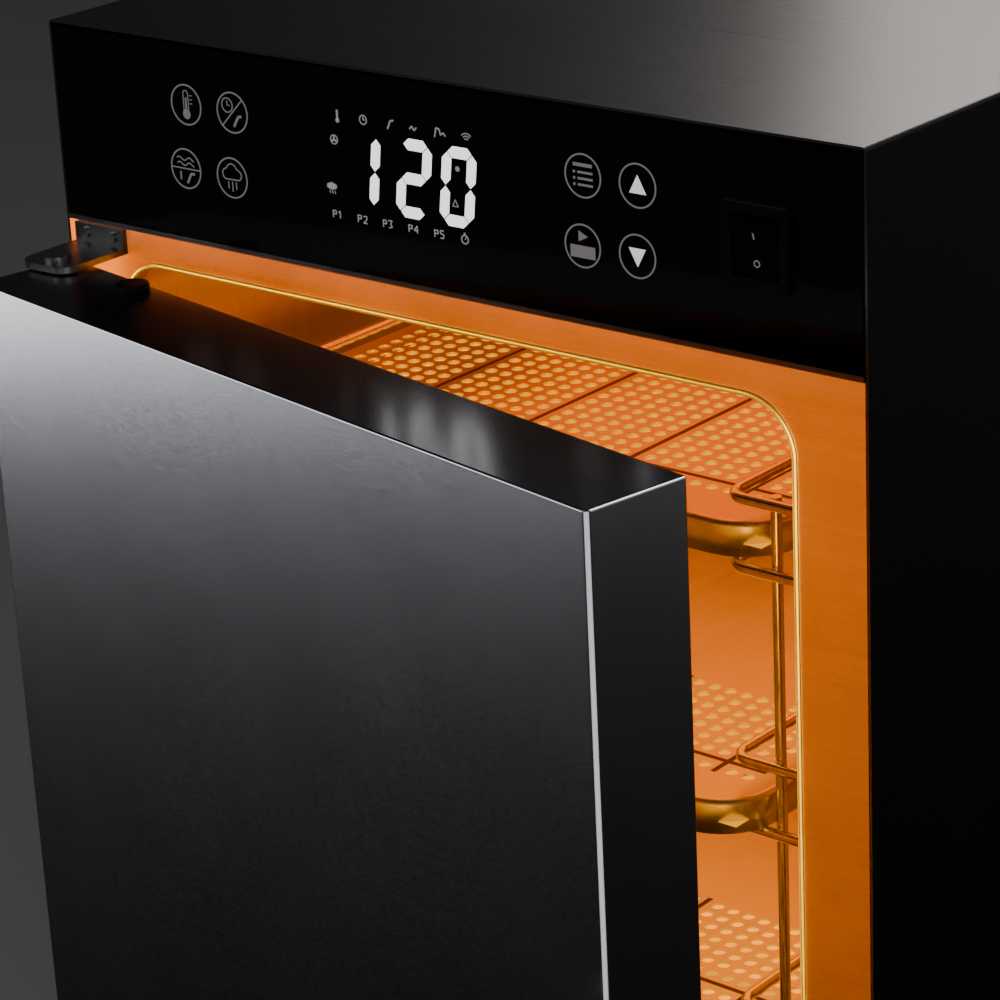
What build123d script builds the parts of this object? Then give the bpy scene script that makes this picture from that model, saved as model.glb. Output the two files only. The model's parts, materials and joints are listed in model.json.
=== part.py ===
from build123d import *
import os
from math import cos, pi, radians, sin

# Benchtop slow-cooking oven with a thick side-hinged door.  Millimetres.
# While it is built, X = 0 is the middle of the body, Y = 0 the face of the front frame (the door side is -Y)
# and Z = 0 the surface that the oven stands on.  The last step shifts the origin to the base of its box.

# ---- body ----
BODY_W = 460.0
BODY_D = 470.0
BODY_TOP = 550.0
FOOT_H = 22.0
SHEET = 1.2
WALL_GAP = 0.3

# ---- control panel ----
GLASS_TOP = 547.5
GLASS_H = 91.5
GLASS_T = 4.0
GLASS_BOTTOM = GLASS_TOP - GLASS_H
PANEL_MID = GLASS_TOP - GLASS_H / 2
TRIM_H = 2.4

# ---- opening and cavity ----
OPEN_HALF = 193.5
OPEN_TOP = PANEL_MID - 63.7
OPEN_BOTTOM = 54.0
OPEN_R = 25.0
LIP_D = 9.0
CAVITY_HALF = 197.0
CAVITY_BACK = 425.0
CAVITY_TOP = OPEN_TOP + 4.0
CAVITY_BOTTOM = OPEN_BOTTOM - 4.0
BAFFLE_Y = 386.0

# ---- racks and shelves ----
WIRE = 5.0
RAIL_X = 141.0
POST_X = 163.5
POST_Y = 28.5
BAR_Y = 24.0
REAR_POST_Y = 368.5
REAR_BAR_Y = 373.0
LEVELS = [348.0, 225.0, 102.0]
RAIL_PAIR = 32.0
SHELF_W = 318.0
SHELF_D = 346.0
SHELF_H = 16.0
SHELF_R = 28.0
SHELF_T = 1.2
SHELF_FRONTS = [25.0, 2.0, 12.0]

# ---- door ----
DOOR_W = 428.0
DOOR_T = 51.5
DOOR_GAP = 18.0
DOOR_TOP = OPEN_TOP + 2.2
DOOR_BOTTOM = OPEN_BOTTOM - 2.5
DOOR_BACK = -DOOR_GAP
DOOR_FRONT = -DOOR_GAP - DOOR_T
AJAR = 10.3
HINGE_X = -206.0
HINGE_Y = -30.5
PIN_R = 4.0
PIN_FIT = 0.05
BUSH_R = 6.5
BUSH_L = 16.0
SEAL_BASE = (199.0, 6.9, 16.0, 11.0)
SEAL_BULB = (194.0, 10.3, 8.0, 16.6)
HANDLE_X = 178.0
HANDLE_R = 7.0
HANDLE_OUT = 38.0
HANDLE_Z0 = 78.0
HANDLE_Z1 = 212.0
HANDLE_INSET = 20.0
PLUG_X = -150.0
PLUG_Y = DOOR_BACK - 8.5

# ---- hinges ----
LEAF_T = 3.0
LEAF_CLEAR = 1.0
UPPER_LEAF_Z = DOOR_TOP + LEAF_CLEAR
LOWER_LEAF_Z = DOOR_BOTTOM - LEAF_CLEAR - LEAF_T
UPPER_SCREW_Z = UPPER_LEAF_Z + 7.5
LOWER_SCREW_Z = LOWER_LEAF_Z - 6.5
HINGE_SCREW_XS = (HINGE_X - 9.0, HINGE_X + 9.0)

# ---- mains switch ----
SWITCH_X = 178.0
SWITCH_Z = PANEL_MID + 0.8
SURROUND_W = 34.5
SURROUND_H = 37.0
SURROUND_PROUD = 2.5
WELL_W = 23.4
WELL_H = 27.0
ROCKER_W = 22.6
ROCKER_H = 24.0
ROCKER_TILT = 10.0
ROCKER_PIVOT_Y = 4.0
ROCKER_PIN_R = 1.5

# ---- mains inlet and cavity lamp ----
INLET_X = 150.0
INLET_Z = 60.0
LAMP_Y = 150.0
LAMP_Z = 300.0

# ---- fan ----
FAN_Z = 245.0
FAN_R = 72.0
SHAFT_R = 4.0
IMPELLER_Y0 = 394.0
IMPELLER_Y1 = 416.0
BLADES = 12


def block(x0, x1, y0, y1, z0, z1):
    """An upright box between two corners."""
    middle = Pos((x0 + x1) / 2, (y0 + y1) / 2, (z0 + z1) / 2)
    return middle * Box(x1 - x0, y1 - y0, z1 - z0)


def rounded_front(half_w, z0, z1, y0, y1, r):
    """A plate that faces -Y, with rounded corners, from y0 back to y1."""
    outline = Pos(0, y1, (z0 + z1) / 2) * Rot(90, 0, 0) * RectangleRounded(2 * half_w, z1 - z0, r)
    return extrude(outline, amount=y1 - y0, dir=(0, -1, 0))


def rod_x(x0, x1, y, z, r):
    """A round bar along X."""
    return Pos((x0 + x1) / 2, y, z) * Rot(0, 90, 0) * Cylinder(r, abs(x1 - x0))


def rod_y(y0, y1, x, z, r):
    """A round bar along Y."""
    return Pos(x, (y0 + y1) / 2, z) * Rot(90, 0, 0) * Cylinder(r, y1 - y0)


def rod_z(z0, z1, x, y, r):
    """A round bar along Z."""
    return Pos(x, y, (z0 + z1) / 2) * Cylinder(r, z1 - z0)


def wire_path(points, bend, r):
    """A bent round wire through the points, with its corners rounded to the bend radius."""
    path = FilletPolyline(*points, radius=bend)
    section = Plane(origin=path @ 0, z_dir=path % 0) * Circle(r)
    return sweep(section, path=path)


def group(solids):
    """Several separate solids kept together as one piece of stock."""
    flat = []
    for item in solids:
        flat.extend(item.solids())
    return Compound(children=flat)


# ---------------------------------------------------------------- casing
def outer_casing():
    """Top and both sides, folded from one sheet, with a narrow return along the top front edge."""
    half = BODY_W / 2
    outside = block(-half, half, 0, BODY_D, FOOT_H, BODY_TOP)
    inside = block(-half + SHEET, half - SHEET, -1, BODY_D + 1, FOOT_H - 1, BODY_TOP - SHEET)
    shell = outside - inside
    long_edges = shell.edges().filter_by(Axis.Y).group_by(Axis.Z)[-1]
    shell = fillet(long_edges, 2.5)
    return shell


def base_pan():
    """Bottom sheet with its sides turned up inside the casing."""
    half = BODY_W / 2 - SHEET - WALL_GAP
    outside = block(-half, half, 2, BODY_D - 2, FOOT_H, FOOT_H + 14)
    inside = block(-half + SHEET, half - SHEET, 2 + SHEET, BODY_D - 2 - SHEET, FOOT_H + SHEET, FOOT_H + 15)
    pan = outside - inside
    return pan - [rod_z(FOOT_H - 1, FOOT_H + 3, x, y, 3.0) for x in foot_xs() for y in foot_ys()]


def rear_cover():
    """Rear sheet with rows of louvre slots and an opening for the mains inlet."""
    half = BODY_W / 2 - SHEET - WALL_GAP
    cover = block(-half, half, BODY_D - SHEET, BODY_D, FOOT_H + 2, BODY_TOP - SHEET - WALL_GAP)
    for row in range(9):
        for side in (-1, 1):
            z = 380 + row * 14
            slot = block(side * 70 - 45, side * 70 + 45, BODY_D - 5, BODY_D + 5, z - 2, z + 2)
            cover -= slot
    cover -= block(INLET_X - 13.8, INLET_X + 13.8, BODY_D - 5, BODY_D + 5, INLET_Z - 10.2, INLET_Z + 10.2)
    for x, z in rear_screw_places():
        cover -= rod_y(BODY_D - 5, BODY_D + 5, x, z, 2.1)
    return cover


def rear_screw_places():
    """Places of the screws round the rear cover."""
    return [(x, z) for x in (-215.0, 0.0, 215.0) for z in (40.0, 532.0)]


def rear_screws():
    """Pan-head screws that hold the rear cover."""
    screws = []
    for x, z in rear_screw_places():
        head = rod_y(BODY_D, BODY_D + 2.2, x, z, 3.8)
        shank = rod_y(BODY_D - 9, BODY_D, x, z, 1.95)
        screws.append(fillet((head + shank).edges().group_by(Axis.Y)[-1], 1.2))
    return group(screws)


def foot_xs():
    """X of the two rows of feet."""
    return (-BODY_W / 2 + 42, BODY_W / 2 - 42)


def foot_ys():
    """Y of the front and rear feet."""
    return (45.0, BODY_D - 45)


def feet():
    """Four tapered rubber feet."""
    made = []
    for x in foot_xs():
        for y in foot_ys():
            foot = Pos(x, y, FOOT_H / 2) * Cone(15.0, 19.0, FOOT_H)
            foot -= rod_z(6, FOOT_H + 1, x, y, 3.0)
            made.append(fillet(foot.edges().group_by(Axis.Z)[0], 1.5))
    return group(made)


def foot_screws():
    """Screws that clamp the feet to the base pan."""
    made = []
    for x in foot_xs():
        for y in foot_ys():
            screw = rod_z(7, FOOT_H + 9, x, y, 2.8)
            nut_z = FOOT_H + SHEET + 0.05
            screw += rod_z(nut_z, nut_z + 3.2, x, y, 5.0)
            made.append(screw)
    return group(made)


def front_frame():
    """Front sheet round the cavity mouth, with the mouth's edge turned inwards."""
    half = BODY_W / 2 - SHEET - WALL_GAP
    top = GLASS_BOTTOM - TRIM_H
    plate = block(-half, half, 0, SHEET, FOOT_H + 0.5, top)
    mouth = rounded_front(OPEN_HALF, OPEN_BOTTOM, OPEN_TOP, -1, LIP_D + 1, OPEN_R)
    lip_out = rounded_front(OPEN_HALF + SHEET, OPEN_BOTTOM - SHEET, OPEN_TOP + SHEET, 0, LIP_D, OPEN_R + SHEET)
    frame = plate + lip_out - mouth
    for z in (UPPER_SCREW_Z, LOWER_SCREW_Z):
        for x in HINGE_SCREW_XS:
            frame -= rod_y(-1, 3, x, z, 1.7)
    return frame


def panel_trim():
    """Bright strip between the glass and the front frame."""
    half = BODY_W / 2 - SHEET - WALL_GAP
    return block(-half, half, -1.0, 3.0, GLASS_BOTTOM - TRIM_H, GLASS_BOTTOM)


def fascia_glass():
    """Black touch glass across the whole width, with a window for the mains switch."""
    half = BODY_W / 2 - SHEET - WALL_GAP
    glass = block(-half, half, -0.6, GLASS_T - 0.6, GLASS_BOTTOM, GLASS_TOP)
    front = glass.edges().group_by(Axis.Y)[0]
    glass = chamfer(front, 0.5)
    window = block(SWITCH_X - 13.4, SWITCH_X + 13.4, -2, GLASS_T + 1, SWITCH_Z - 15.4, SWITCH_Z + 15.4)
    return glass - window


def fascia_carrier():
    """Steel tray behind the glass that carries the display and the boards."""
    half = BODY_W / 2 - SHEET - 2
    y0 = GLASS_T - 0.6
    outside = block(-half, half, y0, y0 + 26, GLASS_BOTTOM + 1, GLASS_TOP - 1)
    inside = block(-half + 1, half - 1, y0 + 1.2, y0 + 27, GLASS_BOTTOM + 2, GLASS_TOP - 2)
    tray = outside - inside
    tray -= block(-60, 45, y0 - 1, y0 + 2, PANEL_MID - 28, PANEL_MID + 32)
    tray -= block(SWITCH_X - 13.6, SWITCH_X + 13.6, y0 - 1, y0 + 2, SWITCH_Z - 15.6, SWITCH_Z + 15.6)
    return tray


def display_module():
    """Segment display block behind the glass."""
    y0 = GLASS_T - 0.6
    return block(-58, 43, y0 + 0.1, y0 + 9, PANEL_MID - 26, PANEL_MID + 30)


def touch_board():
    """Circuit board behind the display with its chips."""
    y0 = GLASS_T - 0.6 + 10
    board = block(-160, 140, y0, y0 + 1.6, PANEL_MID - 38, PANEL_MID + 38)
    for x in (-120, -60, 30, 95):
        board += block(x - 8, x + 8, y0 + 1.6, y0 + 4.2, PANEL_MID - 8, PANEL_MID + 8)
    return board


def power_board():
    """Power board above the cavity, with a transformer, relays and a capacitor."""
    z0 = CAVITY_TOP + 46
    board = block(20, 170, 200, 320, z0, z0 + 1.6)
    board += block(40, 80, 220, 258, z0 + 1.6, z0 + 34)
    for x in (100, 125, 150):
        board += block(x - 9, x + 9, 280, 308, z0 + 1.6, z0 + 18)
    board += rod_z(z0 + 1.6, z0 + 26, 120, 235, 9)
    return board


def board_posts():
    """Four posts that hold the power board over the insulation."""
    z0 = CAVITY_TOP + 26
    places = [(x, y) for x in (30.0, 160.0) for y in (210.0, 310.0)]
    return group([rod_z(z0, CAVITY_TOP + 46, x, y, 3.0) for x, y in places])


def terminal_block():
    """Terminal block beside the power board."""
    z0 = CAVITY_TOP + 26
    body = block(-120, -60, 330, 352, z0, z0 + 16)
    for i in range(5):
        body -= rod_z(z0 + 8, z0 + 17, -114 + i * 12, 341, 2.6)
    return body


def thermal_cutout():
    """Safety cut-out on the cavity's top."""
    z0 = CAVITY_TOP + 26
    can = rod_z(z0, z0 + 9, -40, 150, 8)
    ears = block(-53, -27, 145, 155, z0, z0 + 1.2)
    return can + ears


# ---------------------------------------------------------------- mains inlet
def mains_inlet():
    """Body of the appliance inlet in the rear cover, with its socket."""
    x, z = INLET_X, INLET_Z
    flange = block(x - 17, x + 17, BODY_D, BODY_D + 2.4, z - 13, z + 13)
    body = block(x - 13.5, x + 13.5, BODY_D - 22, BODY_D, z - 9.9, z + 9.9)
    inlet = flange + body
    return inlet - block(x - 12, x + 12, BODY_D - 14, BODY_D + 3, z - 8.2, z + 8.2)


def inlet_pins():
    """Three flat pins that stand on the floor of the inlet's socket."""
    x, z = INLET_X, INLET_Z
    made = []
    for dx, dz in ((-7, -2), (0, 2), (7, -2)):
        made.append(block(x + dx - 1, x + dx + 1, BODY_D - 14, BODY_D - 1, z + dz - 2, z + dz + 2))
    return group(made)


# ---------------------------------------------------------------- mains switch
def rocker_housing():
    """Splash-proof surround and body of the mains switch."""
    x, z = SWITCH_X, SWITCH_Z
    half_w, half_h = SURROUND_W / 2, SURROUND_H / 2
    front = -0.6 - SURROUND_PROUD
    ring = block(x - half_w, x + half_w, front, -0.6, z - half_h, z + half_h)
    ring = fillet(ring.edges().filter_by(Axis.Y), 2.5)
    ring = fillet(ring.faces().sort_by(Axis.Y)[0].edges(), 1.2)
    body = block(x - 13.2, x + 13.2, -0.6, 24, z - 15.2, z + 15.2)
    well = block(x - WELL_W / 2, x + WELL_W / 2, front - 1, 20, z - WELL_H / 2, z + WELL_H / 2)
    housing = ring + body - well
    housing -= rod_x(x - 12.5, x + 12.5, ROCKER_PIVOT_Y, z, ROCKER_PIN_R + 0.05)
    for dz in (-8, 0, 8):
        housing += block(x - 3, x + 3, 24, 32, z + dz - 0.5, z + dz + 0.5)
    return housing


def rocker():
    """Rocker with a shallow V face and a pivot pin on each side, its lower end pressed in."""
    half = ROCKER_H / 2
    corners = [(-3.6, half), (-2.0, 0), (-3.6, -half), (3.0, -half), (9.0, -7), (9.0, 7), (3.0, half)]
    profile = Polyline(*corners, close=True)
    face = make_face(Plane.YZ * profile)
    body = extrude(face, amount=ROCKER_W / 2, both=True)
    body = fillet(body.edges().filter_by(Axis.X).group_by(Axis.Y)[0], 0.8)
    body += rod_x(-12.4, 12.4, ROCKER_PIVOT_Y, 0, ROCKER_PIN_R)
    about_pivot = Pos(0, ROCKER_PIVOT_Y, 0) * Rot(ROCKER_TILT, 0, 0) * Pos(0, -ROCKER_PIVOT_Y, 0)
    return Pos(SWITCH_X, 0, SWITCH_Z) * about_pivot * body


# ---------------------------------------------------------------- cavity
def cavity_liner():
    """Stainless box with an open front and a hole for the fan shaft."""
    out = SHEET
    low, high = CAVITY_BOTTOM - out, CAVITY_TOP + out
    outside = rounded_front(CAVITY_HALF + out, low, high, SHEET, CAVITY_BACK + out, OPEN_R + 3)
    inside = rounded_front(CAVITY_HALF, CAVITY_BOTTOM, CAVITY_TOP, 0, CAVITY_BACK, OPEN_R + 2)
    liner = outside - inside
    liner -= rod_y(CAVITY_BACK - 5, CAVITY_BACK + 5, 0, FAN_Z, 9)
    liner -= rod_x(-CAVITY_HALF - 5, -CAVITY_HALF + 5, LAMP_Y, LAMP_Z, 20.2)
    return liner


def insulation():
    """Mineral wool blanket on the top and both sides of the liner."""
    half = BODY_W / 2 - SHEET - 2
    inner = CAVITY_HALF + SHEET + WALL_GAP
    outside = block(-half, half, 32, CAVITY_BACK, CAVITY_BOTTOM + 10, CAVITY_TOP + 26)
    inside = block(-inner, inner, 31, CAVITY_BACK + 1, CAVITY_BOTTOM + 9, CAVITY_TOP + SHEET + WALL_GAP)
    blanket = outside - inside
    blanket -= rod_x(-half - 1, -inner + 1, LAMP_Y, LAMP_Z, 23)
    return blanket


def rack(side):
    """One wire rack: three pairs of rails bent round the posts, welded to a front and a rear post."""
    r = WIRE / 2
    wall = CAVITY_HALF * side
    rail = RAIL_X * side
    top = LEVELS[0] + RAIL_PAIR
    whole = rod_z(LEVELS[-1] - r, top + r, POST_X * side, POST_Y, r)
    whole += rod_z(LEVELS[-1] - r, top + r, POST_X * side, REAR_POST_Y, r)
    for level in LEVELS:
        for z in (level, level + RAIL_PAIR):
            points = [(wall, BAR_Y, z), (rail, BAR_Y, z), (rail, REAR_BAR_Y, z), (wall, REAR_BAR_Y, z)]
            whole += wire_path(points, 9.0, r)
    return whole


def rack_sockets():
    """Round sockets on the side walls that take the ends of the top and bottom rails."""
    made = []
    for side in (-1, 1):
        for y in (BAR_Y, REAR_BAR_Y):
            for z in (LEVELS[-1], LEVELS[0] + RAIL_PAIR):
                x0, x1 = side * (CAVITY_HALF - 6), side * CAVITY_HALF
                made.append(rod_x(x0, x1, y, z, 5.5) - rod_x(x0 - 9 * side, x1, y, z, WIRE / 2 + 0.05))
    return group(made)


def shelf(level, front):
    """Flat shelf with rounded corners and turned-down edges, resting on the lower rails of a pair."""
    z0 = level + WIRE / 2
    outline = Pos(0, front + SHELF_D / 2, z0) * RectangleRounded(SHELF_W, SHELF_D, SHELF_R)
    plate = extrude(outline, amount=SHELF_H, dir=(0, 0, 1))
    plate = fillet(plate.faces().sort_by(Axis.Z)[-1].edges(), 3.0)
    hollow_w, hollow_d = SHELF_W - 2 * SHELF_T, SHELF_D - 2 * SHELF_T
    hollow = Pos(0, front + SHELF_D / 2, z0 - 1) * RectangleRounded(hollow_w, hollow_d, SHELF_R - SHELF_T)
    return plate - extrude(hollow, amount=SHELF_H - SHELF_T - 1, dir=(0, 0, 1))


def fan_baffle():
    """Plate in front of the fan with an inlet grille of round holes and air gaps at both sides."""
    plate = block(-175, 175, BAFFLE_Y, BAFFLE_Y + 1.5, CAVITY_BOTTOM + 22, CAVITY_TOP - 20)
    for ring in range(1, 5):
        count = 6 * ring
        for i in range(count):
            turn = 2 * pi * i / count
            x = 13 * ring * cos(turn)
            z = FAN_Z + 13 * ring * sin(turn)
            plate -= rod_y(BAFFLE_Y - 2, BAFFLE_Y + 4, x, z, 4.2)
    return plate


def baffle_legs():
    """Four flat legs that hold the baffle off the rear wall."""
    places = [(x, z) for x in (-165, 165) for z in (80.0, 410.0)]
    return group([block(x - 8, x + 8, BAFFLE_Y + 1.5, CAVITY_BACK, z - 0.8, z + 0.8) for x, z in places])


def baffle_screws():
    """Dome-head screws on the baffle's corners."""
    made = []
    for x in (-165, 165):
        for z in (95.0, 395.0):
            screw = rod_y(BAFFLE_Y - 2.4, BAFFLE_Y, x, z, 4.2)
            made.append(fillet(screw.edges().group_by(Axis.Y)[0], 1.6))
    return group(made)


def ring_heater():
    """Round tubular element about the fan, with its two ends through the rear wall."""
    y = 405.0
    ring = Pos(0, y, FAN_Z) * Rot(90, 0, 0) * Torus(96.0, 3.4)
    return ring


def heater(z, count, half_w):
    """Serpentine tubular element in a flat plane."""
    y0, y1 = 70.0, 340.0
    step = (y1 - y0) / count
    points = []
    for i in range(count + 1):
        y = y0 + i * step
        ends = (-half_w, half_w) if i % 2 == 0 else (half_w, -half_w)
        points += [(ends[0], y, z), (ends[1], y, z)]
    points.append((points[-1][0], CAVITY_BACK, z))
    return wire_path(points, step * 0.42, 3.4)


def heater_upper():
    """Upper element under the cavity's top."""
    return heater(CAVITY_TOP - 14, 4, 140.0)


def heater_lower():
    """Lower element over the cavity's floor."""
    return heater(CAVITY_BOTTOM + 16, 4, 140.0)


def fan_motor():
    """Motor behind the cavity."""
    z = FAN_Z
    y0 = CAVITY_BACK + SHEET + 6
    can = rod_y(y0, y0 + 26, 0, z, 26)
    can = fillet(can.edges().group_by(Axis.Y)[-1], 3)
    return can - rod_y(y0 - 1, y0 + 18, 0, z, SHAFT_R + 0.06)


def motor_bracket():
    """Cross plate with four stand-offs that holds the motor to the rear wall."""
    y0 = CAVITY_BACK + SHEET
    plate = block(-48, 48, y0 + 4.4, y0 + 6, FAN_Z - 14, FAN_Z + 14)
    plate -= rod_y(y0, y0 + 9, 0, FAN_Z, 7)
    for x in (-42, 42):
        for dz in (-8, 8):
            plate += rod_y(y0, y0 + 4.4, x, FAN_Z + dz, 3)
    return plate


def fan_shaft():
    """Shaft from the motor through the rear wall to the impeller."""
    return rod_y(IMPELLER_Y0 - 3, CAVITY_BACK + SHEET + 22, 0, FAN_Z, SHAFT_R)


def fan_impeller():
    """Radial impeller: back disc, hub and straight blades."""
    disc = rod_y(IMPELLER_Y1 - 1.5, IMPELLER_Y1, 0, FAN_Z, FAN_R)
    hub = rod_y(IMPELLER_Y0, IMPELLER_Y1 - 1.5, 0, FAN_Z, 11)
    wheel = disc + hub
    for i in range(BLADES):
        blade = block(24, FAN_R, IMPELLER_Y0, IMPELLER_Y1 - 1.5, -0.7, 0.7)
        wheel += Pos(0, 0, FAN_Z) * Rot(0, 360 / BLADES * i, 0) * blade
    return wheel - rod_y(IMPELLER_Y0 - 1, IMPELLER_Y1 + 1, 0, FAN_Z, SHAFT_R)


def temperature_probe():
    """Core probe held in a clip block on the left wall."""
    clip = block(-CAVITY_HALF, -CAVITY_HALF + 9, 352, 364, 392, 408)
    rod = rod_y(250, 352, -CAVITY_HALF + 4.5, 400, 2.0)
    return clip + rod


def lamp_holder():
    """Round lamp pot outside the left wall."""
    x1 = -CAVITY_HALF - SHEET
    pot = rod_x(x1 - 22, x1, LAMP_Y, LAMP_Z, 20)
    return pot - rod_x(x1 - 20.5, x1 + 1, LAMP_Y, LAMP_Z, 18.5)


def cavity_lamp():
    """Capsule lamp in its pot."""
    x1 = -CAVITY_HALF - SHEET
    base = rod_x(x1 - 20.5, x1 - 12, LAMP_Y, LAMP_Z, 7)
    bulb = rod_x(x1 - 12, x1 - 3, LAMP_Y, LAMP_Z, 5)
    return base + fillet(bulb.edges().group_by(Axis.X)[-1], 3)


def lamp_lens():
    """Glass disc over the lamp, flush with the wall, with a rim inside the cavity."""
    x0 = -CAVITY_HALF
    disc = rod_x(x0 - SHEET, x0 + 2.5, LAMP_Y, LAMP_Z, 20)
    rim = rod_x(x0, x0 + 3.5, LAMP_Y, LAMP_Z, 24) - rod_x(x0 - 1, x0 + 4, LAMP_Y, LAMP_Z, 20)
    return disc + rim


# ---------------------------------------------------------------- door, built closed
def door_outer_skin():
    """Deep tray of the door: the front and four sides folded from one sheet."""
    half = DOOR_W / 2
    skin = block(-half, half, DOOR_FRONT, DOOR_BACK, DOOR_BOTTOM, DOOR_TOP)
    upright = skin.edges().filter_by(Axis.Z).group_by(Axis.Y)[0]
    skin = fillet(upright, 2.6)
    skin = fillet(skin.edges().filter_by(Axis.Z).group_by(Axis.Y)[-1], 1.0)
    skin = fillet(skin.faces().sort_by(Axis.Z)[-1].edges(), 0.9)
    skin = fillet(skin.faces().sort_by(Axis.Z)[0].edges(), 0.9)
    inside_x = half - SHEET
    skin -= block(-inside_x, inside_x, DOOR_FRONT + SHEET, DOOR_BACK + 1, DOOR_BOTTOM + SHEET, DOOR_TOP - SHEET)
    for z in (DOOR_TOP, DOOR_BOTTOM):
        skin -= rod_z(z - 3, z + 3, HINGE_X, HINGE_Y, BUSH_R)
    skin -= rod_z(DOOR_TOP - 3, DOOR_TOP + 3, PLUG_X, PLUG_Y, 5.0)
    for z in (HANDLE_Z0 + HANDLE_INSET, HANDLE_Z1 - HANDLE_INSET):
        skin -= rod_y(DOOR_FRONT - 2, DOOR_FRONT + 3, HANDLE_X, z, 2.6)
    return skin



def door_top_plug():
    """Round plug that closes the filling hole in the door's top."""
    head = rod_z(DOOR_TOP, DOOR_TOP + 3.0, PLUG_X, PLUG_Y, 8.2)
    head = fillet(head.edges().group_by(Axis.Z)[-1], 1.2)
    return head + rod_z(DOOR_TOP - 6, DOOR_TOP, PLUG_X, PLUG_Y, 4.9)


def door_inner_panel():
    """Inner sheet of the door with a shallow raised field."""
    half = DOOR_W / 2 - SHEET - WALL_GAP
    z0, z1 = DOOR_BOTTOM + SHEET + WALL_GAP, DOOR_TOP - SHEET - WALL_GAP
    panel = block(-half, half, DOOR_BACK - SHEET, DOOR_BACK, z0, z1)
    panel += rounded_front(180, z0 + 34, z1 - 34, DOOR_BACK, DOOR_BACK + 4, 20)
    panel -= rounded_front(178.8, z0 + 35.2, z1 - 35.2, DOOR_BACK - 3, DOOR_BACK + 2.8, 18.8)
    return panel


def door_insulation():
    """Insulation slab that fills the door."""
    half = DOOR_W / 2 - SHEET - 1
    z0, z1 = DOOR_BOTTOM + SHEET + 1, DOOR_TOP - SHEET - 1
    slab = block(-half, half, DOOR_FRONT + SHEET + 1, DOOR_BACK - SHEET - 1, z0, z1)
    slab -= block(-half - 1, HINGE_X + 12, HINGE_Y - 12, DOOR_BACK, z0 - 1, z0 + BUSH_L + 2)
    slab -= block(-half - 1, HINGE_X + 12, HINGE_Y - 12, DOOR_BACK, z1 - BUSH_L - 2, z1 + 1)
    slab -= rod_z(DOOR_TOP - 8, DOOR_TOP, PLUG_X, PLUG_Y, 6)
    for z in (HANDLE_Z0 + HANDLE_INSET, HANDLE_Z1 - HANDLE_INSET):
        slab -= rod_y(DOOR_FRONT, DOOR_FRONT + 14, HANDLE_X, z, 6)
    slab -= block(150, half + 1, -32, DOOR_BACK, 229, 261)
    return slab


def seal_ring(half_w, drop, width, height, r):
    """A ring on the door's back: half width, distance from the door's ends, width and height."""
    low, high = DOOR_BOTTOM + drop, DOOR_TOP - drop
    y1 = DOOR_BACK + height
    outer = rounded_front(half_w, low, high, DOOR_BACK, y1, r)
    inner = rounded_front(half_w - width, low + width, high - width, DOOR_BACK - 1, y1 + 1, 3)
    return outer - inner


def door_gasket():
    """Stepped seal round the inner panel, whose bulb stops just short of the mouth's edge."""
    bulb = seal_ring(*SEAL_BULB, 14)
    bulb = fillet(bulb.faces().sort_by(Axis.Y)[-1].edges(), 2.5)
    return seal_ring(*SEAL_BASE, 18) + bulb


def door_handle():
    """Upright bar handle on the door's free side."""
    y = DOOR_FRONT - HANDLE_OUT
    bar = rod_z(HANDLE_Z0, HANDLE_Z1, HANDLE_X, y, HANDLE_R)
    return fillet(bar.edges().filter_by(GeomType.CIRCLE), 1.5)


def handle_standoffs():
    """Two stand-offs between the door and the handle bar, each with its screw."""
    y = DOOR_FRONT - HANDLE_OUT
    made = []
    for z in (HANDLE_Z0 + HANDLE_INSET, HANDLE_Z1 - HANDLE_INSET):
        post = rod_y(y, DOOR_FRONT, HANDLE_X, z, 5.0) - rod_z(z - 9, z + 9, HANDLE_X, y, HANDLE_R)
        screw = rod_y(DOOR_FRONT, DOOR_FRONT + 8, HANDLE_X, z, 2.5)
        nut = rod_y(DOOR_FRONT + SHEET, DOOR_FRONT + 5, HANDLE_X, z, 4.5)
        made.append(post + screw + nut)
    return group(made)


def hinge_bushes():
    """Bronze bushes in the door's top and bottom."""
    made = []
    for z0, z1 in ((DOOR_TOP - BUSH_L, DOOR_TOP), (DOOR_BOTTOM, DOOR_BOTTOM + BUSH_L)):
        bush = rod_z(z0, z1, HINGE_X, HINGE_Y, BUSH_R)
        made.append(bush - rod_z(z0 - 1, z1 + 1, HINGE_X, HINGE_Y, PIN_R + PIN_FIT))
    return group(made)


def door_magnet():
    """Catch magnet behind the inner panel on the free side."""
    return block(193, 211, DOOR_BACK - 13, DOOR_BACK - SHEET, 232, 258)


def strike_plate():
    """Steel keeper behind the front frame for the door's magnet."""
    return block(200, 214, SHEET, SHEET + 2, 232, 258)


# ---------------------------------------------------------------- hinges on the body
def hinge_bracket(leaf_z, flange_z0, flange_z1, screw_z):
    """Angle bracket: a flange on the front frame and a leaf that holds the pin."""
    x0, x1 = HINGE_X - 16, HINGE_X + 16
    flange = block(x0, x1, -LEAF_T, 0, flange_z0, flange_z1)
    leaf = block(x0, x1, HINGE_Y - 11, -LEAF_T, leaf_z, leaf_z + LEAF_T)
    leaf = fillet(leaf.edges().filter_by(Axis.Z).group_by(Axis.Y)[0], 9)
    bracket = flange + leaf
    bracket -= rod_z(leaf_z - 1, leaf_z + LEAF_T + 1, HINGE_X, HINGE_Y, PIN_R)
    for x in HINGE_SCREW_XS:
        bracket -= rod_y(-LEAF_T - 1, 1, x, screw_z, 1.7)
    return bracket


def upper_hinge_bracket():
    """Bracket over the door."""
    return hinge_bracket(UPPER_LEAF_Z, UPPER_LEAF_Z, UPPER_LEAF_Z + 12.0, UPPER_SCREW_Z)


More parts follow.
